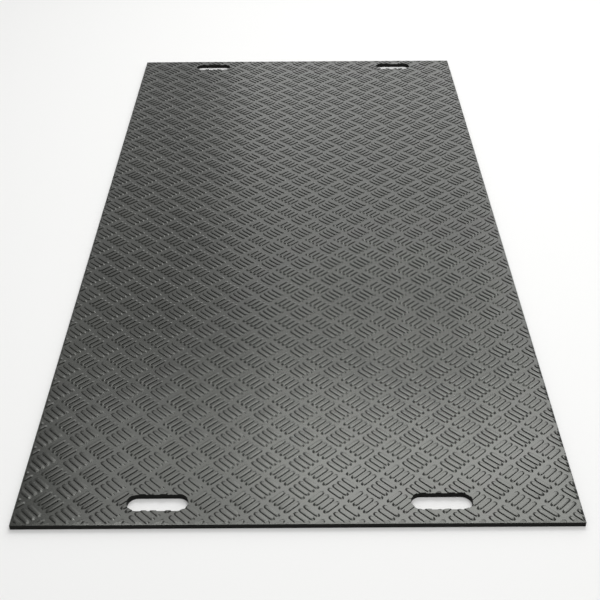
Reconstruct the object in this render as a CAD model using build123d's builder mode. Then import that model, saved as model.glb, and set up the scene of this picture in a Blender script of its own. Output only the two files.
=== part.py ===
"""Ground protection mat: one moulded polyethylene sheet with a raised tread and four hand slots.

The mat lies flat on the ground with its tread up. X runs across it and Y along it, from the front
end to the rear end. The origin is in the middle of the underside. All sizes are in millimetres.
"""

import os

from build123d import *

# Sheet
mat_width = 1220.0
mat_length = 2440.0
sheet_thickness = 12.7

# Tread: blocks of four bars, which lie along one diagonal and along the other by turns
column_pitch = 85.03  # from one block to the next of the same kind, across the mat
row_pitch = 79.95  # the same, along the mat
row_drop = 0.72  # how far a row of blocks falls back over one column pitch
first_block_x = 28.8  # from the left side to the middle of the first block
first_block_y = 26.0  # from the front end to the middle of the first block
bars_per_block = 4
bar_length = 46.0
bar_width = 8.4
bar_height = 2.5
bar_end_run = 5.0  # how far each end of a block slopes down, along its bars
edge_reach = 12.0  # how far outside the mat the middle of a cut block may lie

# Hand slots. An end distance runs from an end of the mat to the middle of the slots beside it, and
# a shift is how far a pair sits to the right of the mat's middle.
slot_length = 134.0
slot_width = 46.4
front_slot_spacing = 615.0
front_slot_shift = 4.5
front_end_distance = 61.5
rear_slot_spacing = 720.0
rear_slot_shift = 23.2
rear_end_distance = 56.0

# The blocks fill a grid of four-sided fields. A block's bars lie along one pair of its field's sides
# and are spaced evenly along the other pair.
to_next_column = Vector(column_pitch, -row_drop)
to_next_row = Vector(0, row_pitch)
falling_side = (to_next_column - to_next_row) / 2
rising_side = (to_next_column + to_next_row) / 2
first_block = Vector(first_block_x - mat_width / 2, first_block_y - mat_length / 2)

# Hand slot centres, front pair and then rear pair
front_slot_y = front_end_distance - mat_length / 2
rear_slot_y = mat_length / 2 - rear_end_distance
slot_centres = [
    (front_slot_shift - front_slot_spacing / 2, front_slot_y),
    (front_slot_shift + front_slot_spacing / 2, front_slot_y),
    (rear_slot_shift - rear_slot_spacing / 2, rear_slot_y),
    (rear_slot_shift + rear_slot_spacing / 2, rear_slot_y),
]


def raised_block(bar_side, stack_side):
    """The raised field of one block: the outline of its bars, with a ridge along them and sloping ends."""
    along = bar_side.normalized()
    square_to_bars = along.cross(Vector(0, 0, 1))
    stack = stack_side * (bars_per_block - 1) / bars_per_block + stack_side.normalized() * bar_width
    half_width = abs(stack.dot(square_to_bars)) / 2
    half_length = bar_length / 2
    half_ridge = half_length - bar_end_run
    on_sheet = (0, 0, sheet_thickness)
    with BuildPart() as block:
        with BuildSketch(Plane(origin=on_sheet, x_dir=along, z_dir=square_to_bars)):
            Polygon(
                (-half_length, 0),
                (half_length, 0),
                (half_ridge, bar_height),
                (-half_ridge, bar_height),
                align=None,
            )
        extrude(amount=stack.length, dir=stack, both=True)
        with BuildSketch(Plane(origin=on_sheet, x_dir=square_to_bars, z_dir=along)):
            Polygon((-half_width, 0), (half_width, 0), (0, -bar_height), align=None)
        extrude(amount=bar_length + stack.length, both=True, mode=Mode.INTERSECT)
    return block.part


def block_places(offset):
    """Middles of every block of one kind on the mat, apart from slivers at its edges."""
    reach_x = mat_width / 2 + edge_reach
    reach_y = mat_length / 2 + edge_reach
    columns = int(mat_width / column_pitch) + 2
    rows = int(mat_length / row_pitch) + 3
    places = []
    for column in range(-1, columns):
        for row in range(-1, rows):
            place = first_block + offset + to_next_column * column + to_next_row * row
            if abs(place.X) < reach_x and abs(place.Y) < reach_y:
                places.append((place.X, place.Y))
    return places


falling_block = raised_block(falling_side, rising_side)
rising_block = raised_block(rising_side, falling_side)

with BuildPart() as mat:
    # Sheet
    with BuildSketch():
        Rectangle(mat_width, mat_length)
    extrude(amount=sheet_thickness)
    # Tread on its upper face
    with Locations(*block_places(Vector(0, 0))):
        add(falling_block, clean=False)
    with Locations(*block_places(rising_side)):
        add(rising_block, clean=False)
    # Square sides and ends cut the bars that run over them, and the hand slots go right through
    with BuildSketch():
        Rectangle(mat_width, mat_length)
        with Locations(*slot_centres):
            SlotOverall(slot_length, slot_width, mode=Mode.SUBTRACT)
    extrude(amount=sheet_thickness + bar_height, mode=Mode.INTERSECT)

mat.part.label = "mat"
os.makedirs("parts", exist_ok=True)
export_step(mat.part, "parts/mat.step")
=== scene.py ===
import bpy
import bmesh
from math import cos, pi, radians, sin
from mathutils import Matrix, Vector


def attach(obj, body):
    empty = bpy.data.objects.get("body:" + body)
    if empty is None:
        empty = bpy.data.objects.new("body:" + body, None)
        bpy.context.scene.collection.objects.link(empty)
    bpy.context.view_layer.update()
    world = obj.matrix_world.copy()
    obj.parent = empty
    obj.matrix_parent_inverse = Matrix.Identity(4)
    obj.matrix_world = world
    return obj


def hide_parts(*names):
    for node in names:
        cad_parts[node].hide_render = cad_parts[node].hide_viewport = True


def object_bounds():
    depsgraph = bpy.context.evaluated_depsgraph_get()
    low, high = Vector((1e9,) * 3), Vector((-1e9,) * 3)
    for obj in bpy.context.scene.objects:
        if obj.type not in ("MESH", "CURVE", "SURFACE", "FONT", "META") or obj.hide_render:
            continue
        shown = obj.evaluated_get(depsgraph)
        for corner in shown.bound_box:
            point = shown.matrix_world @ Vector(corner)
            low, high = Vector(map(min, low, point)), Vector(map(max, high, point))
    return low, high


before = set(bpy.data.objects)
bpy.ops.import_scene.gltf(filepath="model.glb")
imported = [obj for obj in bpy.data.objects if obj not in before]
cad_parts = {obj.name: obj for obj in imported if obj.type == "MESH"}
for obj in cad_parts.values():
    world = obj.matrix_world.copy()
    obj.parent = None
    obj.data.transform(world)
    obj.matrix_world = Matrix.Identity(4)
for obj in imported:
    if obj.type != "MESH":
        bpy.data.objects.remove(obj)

cadLow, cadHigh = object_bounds()
mm = 0.001


# Helpers

def hexColour(text, alpha=1.0):
    # sRGB hex to the linear values that the shader works in
    channels = [int(text[i:i + 2], 16) / 255 for i in (1, 3, 5)]
    linear = [c / 12.92 if c <= 0.04045 else ((c + 0.055) / 1.055) ** 2.4 for c in channels]
    return (*linear, alpha)


def addNode(tree, kind, links=None, **settings):
    # one node, with its settings and the links or values of its inputs
    node = tree.nodes.new(kind)
    for name, value in settings.items():
        setattr(node, name, value)
    for socket, source in (links or {}).items():
        if isinstance(source, bpy.types.NodeSocket):
            tree.links.new(source, node.inputs[socket])
        else:
            node.inputs[socket].default_value = source
    return node


def newObject(name, mesh):
    thing = bpy.data.objects.new(name, mesh)
    bpy.context.scene.collection.objects.link(thing)
    return thing


def meshFromBmesh(name, bm):
    mesh = bpy.data.meshes.new(name)
    bm.to_mesh(mesh)
    bm.free()
    return mesh


# Sheet: its outline and its four hand slots, sawn square, with a flat bevel round the outer edge

sheet = {
    "top": 12.7 * mm,
    "bevelDepth": 0.5 * mm,
    "bevelWidth": 1.1 * mm,
    "slotLength": 134.0 * mm,
    "slotWidth": 46.4 * mm,
    "frontSpacing": 615.0 * mm,
    "frontShift": 4.5 * mm,
    "frontEndDistance": 61.5 * mm,
    "rearSpacing": 720.0 * mm,
    "rearShift": 23.2 * mm,
    "rearEndDistance": 56.0 * mm,
    "slotArcSteps": 20,
}
matHalfWidth = cadHigh.x
matHalfLength = cadHigh.y
matTop = cadHigh.z


def ringFaces(bm, lower, upper):
    # a closed band of faces between two rings of as many points
    count = len(lower)
    for i in range(count):
        j = (i + 1) % count
        bm.faces.new((lower[i], lower[j], upper[j], upper[i]))


def prismBody():
    # the sheet's outline, taller than the tread, so that its bevel also slopes off the bars at the edge
    bm = bmesh.new()
    reach = 2 * (matTop - sheet["top"])
    inset = (sheet["bevelDepth"] + reach) * sheet["bevelWidth"] / sheet["bevelDepth"]
    levels = [(0.0, 0.0), (sheet["top"] - sheet["bevelDepth"], 0.0), (sheet["top"] + reach, inset)]
    rings = []
    for height, shrink in levels:
        x, y = matHalfWidth - shrink, matHalfLength - shrink
        corners = ((-x, -y), (x, -y), (x, y), (-x, y))
        rings.append([bm.verts.new((cx, cy, height)) for cx, cy in corners])
    bm.faces.new(reversed(rings[0]))
    for lower, upper in zip(rings, rings[1:]):
        ringFaces(bm, lower, upper)
    bm.faces.new(rings[-1])
    return meshFromBmesh("matOutline", bm)


def slotCutters():
    # four stadium prisms that run past both faces
    bm = bmesh.new()
    radius = sheet["slotWidth"] / 2
    straight = sheet["slotLength"] / 2 - radius
    centres = []
    for end, direction in (("front", -1), ("rear", 1)):
        y = direction * (matHalfLength - sheet[end + "EndDistance"])
        for side in (-1, 1):
            centres.append((sheet[end + "Shift"] + side * sheet[end + "Spacing"] / 2, y))
    steps = sheet["slotArcSteps"]
    for cx, cy in centres:
        rings = []
        for height in (-matTop, 2 * matTop):
            ring = []
            for side in (1, -1):
                for i in range(steps + 1):
                    angle = -pi / 2 + pi * i / steps + (0 if side > 0 else pi)
                    ring.append(bm.verts.new((
                        cx + side * straight + radius * cos(angle),
                        cy + radius * sin(angle),
                        height,
                    )))
            rings.append(ring)
        bm.faces.new(reversed(rings[0]))
        ringFaces(bm, rings[0], rings[1])
        bm.faces.new(rings[1])
    return meshFromBmesh("slotCutters", bm)


# Tread: blocks of four bars, along one diagonal and along the other by turns

tread = {
    "columnPitch": 85.03 * mm,
    "rowPitch": 79.95 * mm,
    "rowDrop": 0.72 * mm,
    "firstBlockX": 28.8 * mm,
    "firstBlockY": 26.0 * mm,
    "barsPerBlock": 4,
    "barLength": 46.0 * mm,
    "shoulderHeight": 2.2 * mm,
    "rootDepth": 1.0 * mm,  # how far a bar reaches into the sheet before the two are joined
    # round a bar's end, at its foot and at its shoulder: how far back from the end, and out from the middle
    "footPoints": ((4.5 * mm, 5.3 * mm), (1.0 * mm, 3.2 * mm), (0.0, 0.0)),
    "shoulderPoints": ((9.5 * mm, 4.32 * mm), (5.5 * mm, 1.92 * mm), (4.9 * mm, 0.0)),
}


def endRing(bm, points, height):
    # the points round both ends of a bar, as one closed ring
    halfLength = tread["barLength"] / 2
    wholeEnd = [(back, -out) for back, out in points] + [(back, out) for back, out in reversed(points[:-1])]
    ring = []
    for side in (1, -1):
        for back, out in wholeEnd:
            ring.append(bm.verts.new((side * (halfLength - back), side * out, sheet["top"] + height)))
    return ring


def barMesh():
    # one bar: steep flanks, a low crown along its middle, and hipped ends that slope down
    bm = bmesh.new()
    height, root = tread["shoulderHeight"], tread["rootDepth"]
    shoulders = tread["shoulderPoints"]
    # the flanks run on below the foot, into the sheet
    grow = 1 + root / height
    roots = [
        (top[0] + (foot[0] - top[0]) * grow, top[1] + (foot[1] - top[1]) * grow)
        for foot, top in zip(tread["footPoints"], shoulders)
    ]
    rings = [endRing(bm, roots, -root), endRing(bm, shoulders, height)]
    bm.faces.new(reversed(rings[0]))
    ringFaces(bm, rings[0], rings[1])
    crownEnd = tread["barLength"] / 2 - shoulders[0][0]
    crown = [bm.verts.new((side * crownEnd, 0, matTop)) for side in (1, -1)]
    perEnd = len(rings[1]) // 2
    for end in (0, 1):
        arc = rings[1][end * perEnd:(end + 1) * perEnd]
        for a, b in zip(arc, arc[1:]):
            bm.faces.new((a, b, crown[end]))
        bm.faces.new((arc[-1], rings[1][(end + 1) % 2 * perEnd], crown[1 - end], crown[end]))
    return meshFromBmesh("treadBar", bm)


def treadTree(columns, rows):
    # bars on a slanted grid, joined to a slab that is then cut to the outline and the slots
    tree = bpy.data.node_groups.new("matTread", "GeometryNodeTree")
    face = tree.interface
    inputs = [
        ("Outline", "NodeSocketGeometry", None),
        ("Bar", "NodeSocketObject", None),
        ("Slots", "NodeSocketObject", None),
        ("Column Pitch", "NodeSocketFloat", tread["columnPitch"]),
        ("Row Pitch", "NodeSocketFloat", tread["rowPitch"]),
        ("Row Drop", "NodeSocketFloat", tread["rowDrop"]),
        ("Bars Per Block", "NodeSocketInt", tread["barsPerBlock"]),
        ("Columns", "NodeSocketInt", columns),
        ("Rows", "NodeSocketInt", rows),
        ("First Block", "NodeSocketVector", None),
        ("Reach", "NodeSocketVector", None),
        ("Slab Size", "NodeSocketVector", None),
        ("Slab Middle", "NodeSocketVector", None),
        ("Material", "NodeSocketMaterial", None),
    ]
    for name, kind, value in inputs:
        socket = face.new_socket(name, in_out="INPUT", socket_type=kind)
        if value is not None:
            socket.default_value = value
    face.new_socket("Geometry", in_out="OUTPUT", socket_type="NodeSocketGeometry")
    given = tree.nodes.new("NodeGroupInput").outputs

    def maths(operation, a, b=0.0):
        return addNode(tree, "ShaderNodeMath", {0: a, 1: b}, operation=operation).outputs[0]

    def vector(operation, a, b):
        return addNode(tree, "ShaderNodeVectorMath", {0: a, 1: b}, operation=operation).outputs[0]

    def scaled(a, factor):
        node = addNode(tree, "ShaderNodeVectorMath", {0: a, "Scale": factor}, operation="SCALE")
        return node.outputs[0]

    # a point's number gives its bar, its row and its column
    index = addNode(tree, "GeometryNodeInputIndex").outputs[0]
    bars, rowCount = given["Bars Per Block"], given["Rows"]
    barNumber = maths("FLOORED_MODULO", index, bars)
    blockNumber = maths("FLOOR", maths("DIVIDE", index, bars))
    row = maths("FLOORED_MODULO", blockNumber, rowCount)
    column = maths("FLOOR", maths("DIVIDE", blockNumber, rowCount))
    toColumn = addNode(tree, "ShaderNodeCombineXYZ", {
        "X": given["Column Pitch"],
        "Y": maths("MULTIPLY", given["Row Drop"], -1.0),
    }).outputs[0]
    toRow = addNode(tree, "ShaderNodeCombineXYZ", {"Y": given["Row Pitch"]}).outputs[0]
    rising = scaled(vector("ADD", toColumn, toRow), 0.5)
    falling = scaled(vector("SUBTRACT", toColumn, toRow), 0.5)
    total = maths("MULTIPLY", maths("MULTIPLY", given["Columns"], rowCount), bars)
    middleBar = maths("MULTIPLY", maths("SUBTRACT", bars, 1.0), 0.5)
    share = maths("DIVIDE", maths("SUBTRACT", barNumber, middleBar), bars)
    block = vector("ADD", given["First Block"], vector(
        "ADD",
        scaled(toColumn, maths("SUBTRACT", column, 1.0)),
        scaled(toRow, maths("SUBTRACT", row, 1.0)),
    ))
    barObject = addNode(tree, "GeometryNodeObjectInfo", {"Object": given["Bar"]}).outputs["Geometry"]
    kinds = []
    for along, across, offset in ((falling, rising, None), (rising, falling, rising)):
        place = vector("ADD", block, scaled(across, share))
        if offset is not None:
            place = vector("ADD", place, offset)
        points = addNode(tree, "GeometryNodePoints", {"Count": total, "Position": place}).outputs[0]
        # bars that don't reach the mat are left off
        position = addNode(tree, "GeometryNodeInputPosition").outputs[0]
        beyond = vector("SUBTRACT", vector("ABSOLUTE", position, (0, 0, 0)), given["Reach"])
        parts = addNode(tree, "ShaderNodeSeparateXYZ", {0: beyond}).outputs
        outside = maths("GREATER_THAN", maths("MAXIMUM", parts["X"], parts["Y"]), 0.0)
        kept = addNode(
            tree, "GeometryNodeDeleteGeometry", {"Geometry": points, "Selection": outside}, domain="POINT",
        ).outputs[0]
        turn = addNode(
            tree, "FunctionNodeAlignRotationToVector", {"Vector": along}, axis="X", pivot_axis="Z",
        ).outputs[0]
        kinds.append(addNode(
            tree, "GeometryNodeInstanceOnPoints", {"Points": kept, "Instance": barObject, "Rotation": turn},
        ).outputs[0])
    joined = tree.nodes.new("GeometryNodeJoinGeometry")
    for kind in kinds:
        tree.links.new(kind, joined.inputs[0])
    realBars = addNode(tree, "GeometryNodeRealizeInstances", {0: joined.outputs[0]}).outputs[0]
    slab = addNode(tree, "GeometryNodeMeshCube", {"Size": given["Slab Size"]}).outputs["Mesh"]
    slab = addNode(
        tree, "GeometryNodeSetPosition", {"Geometry": slab, "Offset": given["Slab Middle"]},
    ).outputs[0]
    slots = addNode(tree, "GeometryNodeObjectInfo", {"Object": given["Slots"]}).outputs["Geometry"]

    def boolean(operation, first, second):
        node = addNode(tree, "GeometryNodeMeshBoolean", operation=operation, solver="MANIFOLD")
        if operation == "DIFFERENCE":
            tree.links.new(first, node.inputs["Mesh 1"])
            tree.links.new(second, node.inputs["Mesh 2"])
        else:
            tree.links.new(first, node.inputs["Mesh 2"])
            tree.links.new(second, node.inputs["Mesh 2"])
        return node.outputs[0]

    solid = boolean("UNION", slab, realBars)
    solid = boolean("INTERSECT", solid, given["Outline"])
    solid = boolean("DIFFERENCE", solid, slots)
    solid = addNode(tree, "GeometryNodeRealizeInstances", {0: solid}).outputs[0]
    done = addNode(
        tree, "GeometryNodeSetMaterial", {"Geometry": solid, "Material": given["Material"]},
    ).outputs[0]
    addNode(tree, "NodeGroupOutput", {0: done})
    return tree


def markSharp(mesh):
    # crowns, end slopes, flanks, ground, bevel and sawn walls stay crisp from one another
    bm = bmesh.new()
    bm.from_mesh(mesh)
    flat, wallTurn = 1e-3, radians(20)
    # the joining leaves spare points along straight edges
    spare = [v for v in bm.verts if len(v.link_edges) == 2 and abs(v.calc_edge_angle(0.0)) < flat]
    bmesh.ops.dissolve_verts(bm, verts=spare)
    bm.normal_update()
    crownTilt, slopeTilt = cos(radians(15)), cos(radians(50))
    for edge in bm.edges:
        if len(edge.link_faces) != 2:
            edge.smooth = False
            continue
        normals = [f.normal for f in edge.link_faces]
        square = any(abs(n.x) < flat or abs(n.y) < flat for n in normals)
        walls = [abs(n.z) < flat for n in normals]
        steepness = [(n.z < crownTilt) + (n.z < slopeTilt) for n in normals]
        roundWall = all(walls) and normals[0].angle(normals[1], 0.0) < wallTurn
        edge.smooth = roundWall or not (square or any(walls) or steepness[0] != steepness[1])
    for f in bm.faces:
        f.smooth = True
    bm.to_mesh(mesh)
    bm.free()


def makeMat(material):
    columns = int(2 * matHalfWidth / tread["columnPitch"]) + 3
    rows = int(2 * matHalfLength / tread["rowPitch"]) + 4
    bar = newObject("treadBar", barMesh())
    slots = newObject("slotCutters", slotCutters())
    base = newObject("matBase", prismBody())
    tree = treadTree(columns, rows)
    modifier = base.modifiers.new("tread", "NODES")
    modifier.node_group = tree
    ids = {s.name: s.identifier for s in tree.interface.items_tree if s.in_out == "INPUT"}
    spare = tread["barLength"]
    slabDepth = 4 * matTop
    values = {
        "Bar": bar,
        "Slots": slots,
        "First Block": (tread["firstBlockX"] - matHalfWidth, tread["firstBlockY"] - matHalfLength, 0.0),
        "Reach": (matHalfWidth + spare / 2, matHalfLength + spare / 2, 1.0),
        "Slab Size": (2 * (matHalfWidth + spare), 2 * (matHalfLength + spare), slabDepth),
        "Slab Middle": (0.0, 0.0, sheet["top"] - slabDepth / 2),
        "Material": material,
    }
    for name, value in values.items():
        modifier[ids[name]] = value
    base.update_tag()
    bpy.context.view_layer.update()
    evaluated = base.evaluated_get(bpy.context.evaluated_depsgraph_get())
    mesh = bpy.data.meshes.new_from_object(evaluated)
    for spareObject in (base, bar, slots):
        bpy.data.objects.remove(spareObject)
    mesh.name = "moulded_sheet"
    markSharp(mesh)
    return newObject("moulded_sheet", mesh)


# Materials

finish = {
    "flowMark": 220 * mm,  # patches where the melt spread in the press
    "grain": 2.5 * mm,  # 0.3 mm in life, and drawn this coarse so that it shows
    "grainDepth": 0.03 * mm,
    "grainStrength": 0.12,
    "roughness": (0.2, 0.24),
    "sawnRoughness": 0.75,
    "sheen": 0.5,
    "sawnSheen": 0.2,
}


def mouldedPolyethylene():
    # black HDPE sheet pressed between plates: a satin skin whose faintly green sheen lifts it to grey,
    # mottled by the flow of the melt, matt where the edges and slots are sawn, and painted near-black there
    # as shade on the upright faces
    material = bpy.data.materials.new("pressed_polyethylene")
    material.use_nodes = True
    tree = material.node_tree
    shader = tree.nodes["Principled BSDF"]
    shader.inputs["IOR"].default_value = 1.54
    shader.inputs["Specular Tint"].default_value = hexColour("#fdfff8")
    coordinates = addNode(tree, "ShaderNodeTexCoord").outputs
    position = coordinates["Object"]
    flow = addNode(tree, "ShaderNodeTexNoise", {
        "Vector": position, "Scale": 1 / finish["flowMark"], "Detail": 3.0,
    }).outputs[0]
    patches = addNode(tree, "ShaderNodeMapRange", {
        "Value": flow, "From Min": 0.35, "From Max": 0.65,
    }).outputs[0]
    # sawn faces stand upright; their matt finish is the sawing, their darker colour is painted shade
    facing = addNode(tree, "ShaderNodeSeparateXYZ", {0: coordinates["Normal"]}).outputs["Z"]
    steep = addNode(tree, "ShaderNodeMath", {0: facing}, operation="ABSOLUTE").outputs[0]
    sawnAndPaintedShade = addNode(tree, "ShaderNodeMapRange", {
        "Value": steep, "From Min": 0.1, "From Max": 0.3, "To Min": 1.0, "To Max": 0.0,
    }).outputs[0]
    skin = addNode(tree, "ShaderNodeMix", {
        0: patches, 6: hexColour("#1d1e1c"), 7: hexColour("#242522"),
    }, data_type="RGBA").outputs[2]
    # painted shade: the upright faces get a near-black colour, darker than the skin on top
    colour = addNode(tree, "ShaderNodeMix", {
        0: sawnAndPaintedShade, 6: skin, 7: hexColour("#0d0d0c"),
    }, data_type="RGBA").outputs[2]
    smoothest, roughest = finish["roughness"]
    skinRoughness = addNode(tree, "ShaderNodeMapRange", {
        "Value": patches, "To Min": smoothest, "To Max": roughest,
    }).outputs[0]
    roughness = addNode(tree, "ShaderNodeMix", {
        0: sawnAndPaintedShade, 2: skinRoughness, 3: finish["sawnRoughness"],
    }).outputs[0]
    sheen = addNode(tree, "ShaderNodeMapRange", {
        "Value": sawnAndPaintedShade, "To Min": finish["sheen"], "To Max": finish["sawnSheen"],
    }).outputs[0]
    grain = addNode(tree, "ShaderNodeTexNoise", {
        "Vector": position, "Scale": 1 / finish["grain"], "Detail": 2.0,
    }).outputs[0]
    bump = addNode(tree, "ShaderNodeBump", {
        "Strength": finish["grainStrength"], "Distance": finish["grainDepth"], "Height": grain,
    }).outputs[0]
    inputs = {"Base Color": colour, "Roughness": roughness, "Specular IOR Level": sheen, "Normal": bump}
    for name, source in inputs.items():
        tree.links.new(source, shader.inputs[name])
    return material


def paleFloor():
    # matt white floor that still takes the mat's shadow
    material = bpy.data.materials.new("pale_floor")
    material.use_nodes = True
    tree = material.node_tree
    tree.nodes.clear()
    matt = addNode(tree, "ShaderNodeBsdfDiffuse", {"Color": hexColour("#ececeb")}).outputs[0]
    addNode(tree, "ShaderNodeOutputMaterial", {"Surface": matt})
    return material


polyethylene = mouldedPolyethylene()
print("materials made")

mat = makeMat(polyethylene)
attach(mat, "root")
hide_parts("mat")
print("mat made:", len(mat.data.vertices), "points,", len(mat.data.polygons), "faces")


# Stage: floor, light and camera

stageSizes = {
    "floorHalf": 30.0,
    "worldStrength": 0.35,
}
lamps = {
    "keyLight": {"size": (0.9, 0.9), "place": (0.9, -0.6, 4.4), "aim": (0.2, -0.9, 0.0), "watts": 35.0},
    "frontLight": {"size": (3.6, 0.5), "place": (0.3, -1.9, 4.2), "aim": (0.3, -1.2, 0.0), "watts": 50.0},
    "backPanel": {"size": (8.6, 4.4), "place": (-0.2, 6.6, 3.6), "aim": (-0.2, 0.0, 0.2), "watts": 67.0},
    "rightPanel": {"size": (7.2, 4.4), "place": (2.9, 6.4, 3.6), "aim": (2.9, 0.0, 0.2), "watts": 98.0},
    "farRightPanel": {"size": (4.4, 4.4), "place": (4.4, 6.2, 3.6), "aim": (4.4, 0.0, 0.2), "watts": 61.0},
    "highPanel": {"size": (4.4, 1.9), "place": (0.3, 2.7, 4.5), "aim": (0.3, -1.0, 0.0), "watts": 72.0},
    "sidePanel": {"size": (2.8, 1.9), "place": (1.1, 2.6, 4.4), "aim": (1.1, -1.0, 0.0), "watts": 48.0},
}


def makeFloor():
    bm = bmesh.new()
    bmesh.ops.create_grid(bm, x_segments=1, y_segments=1, size=stageSizes["floorHalf"])
    floor = newObject("floor", meshFromBmesh("floor", bm))
    floor.data.materials.append(paleFloor())


def makeLight(name, size, place, aim, watts):
    light = bpy.data.lights.new(name, "AREA")
    light.shape = "RECTANGLE"
    light.size, light.size_y = size
    light.energy = watts
    turn = (Vector(aim) - Vector(place)).to_track_quat("-Z", "Y").to_matrix().to_4x4()
    newObject(name, light).matrix_world = Matrix.Translation(place) @ turn


def makeWorld():
    world = bpy.data.worlds.new("studio")
    bpy.context.scene.world = world
    world.use_nodes = True
    tree = world.node_tree
    tree.nodes.clear()
    soft = addNode(tree, "ShaderNodeBackground", {
        "Color": hexColour("#ffffff"), "Strength": stageSizes["worldStrength"],
    }).outputs[0]
    addNode(tree, "ShaderNodeOutputWorld", {"Surface": soft})


def makeCamera():
    # solved from the photograph's four corners of the mat, for a frame of 600 by 600 pixels
    focalPixels, framePixels, sensor = 1004.06, 600.0, 36.0
    place = Vector((10.26 * mm, -2648.81 * mm, sheet["top"] + 1636.19 * mm))
    pitch, yaw, roll = radians(36.298), radians(-0.083), radians(-0.387)
    camera = bpy.data.cameras.new("camera")
    camera.sensor_width = sensor
    camera.lens = focalPixels / framePixels * sensor
    camera.clip_end = 100.0
    eye = newObject("camera", camera)
    turn = Matrix.Rotation(-yaw, 4, "Z") @ Matrix.Rotation(pi / 2 - pitch, 4, "X")
    eye.matrix_world = Matrix.Translation(place) @ turn @ Matrix.Rotation(roll, 4, "Z")
    bpy.context.scene.camera = eye


makeFloor()
for lampName, lampSettings in lamps.items():
    makeLight(lampName, **lampSettings)
makeWorld()
makeCamera()
bpy.context.scene.view_settings.view_transform = "Standard"
print("stage made")
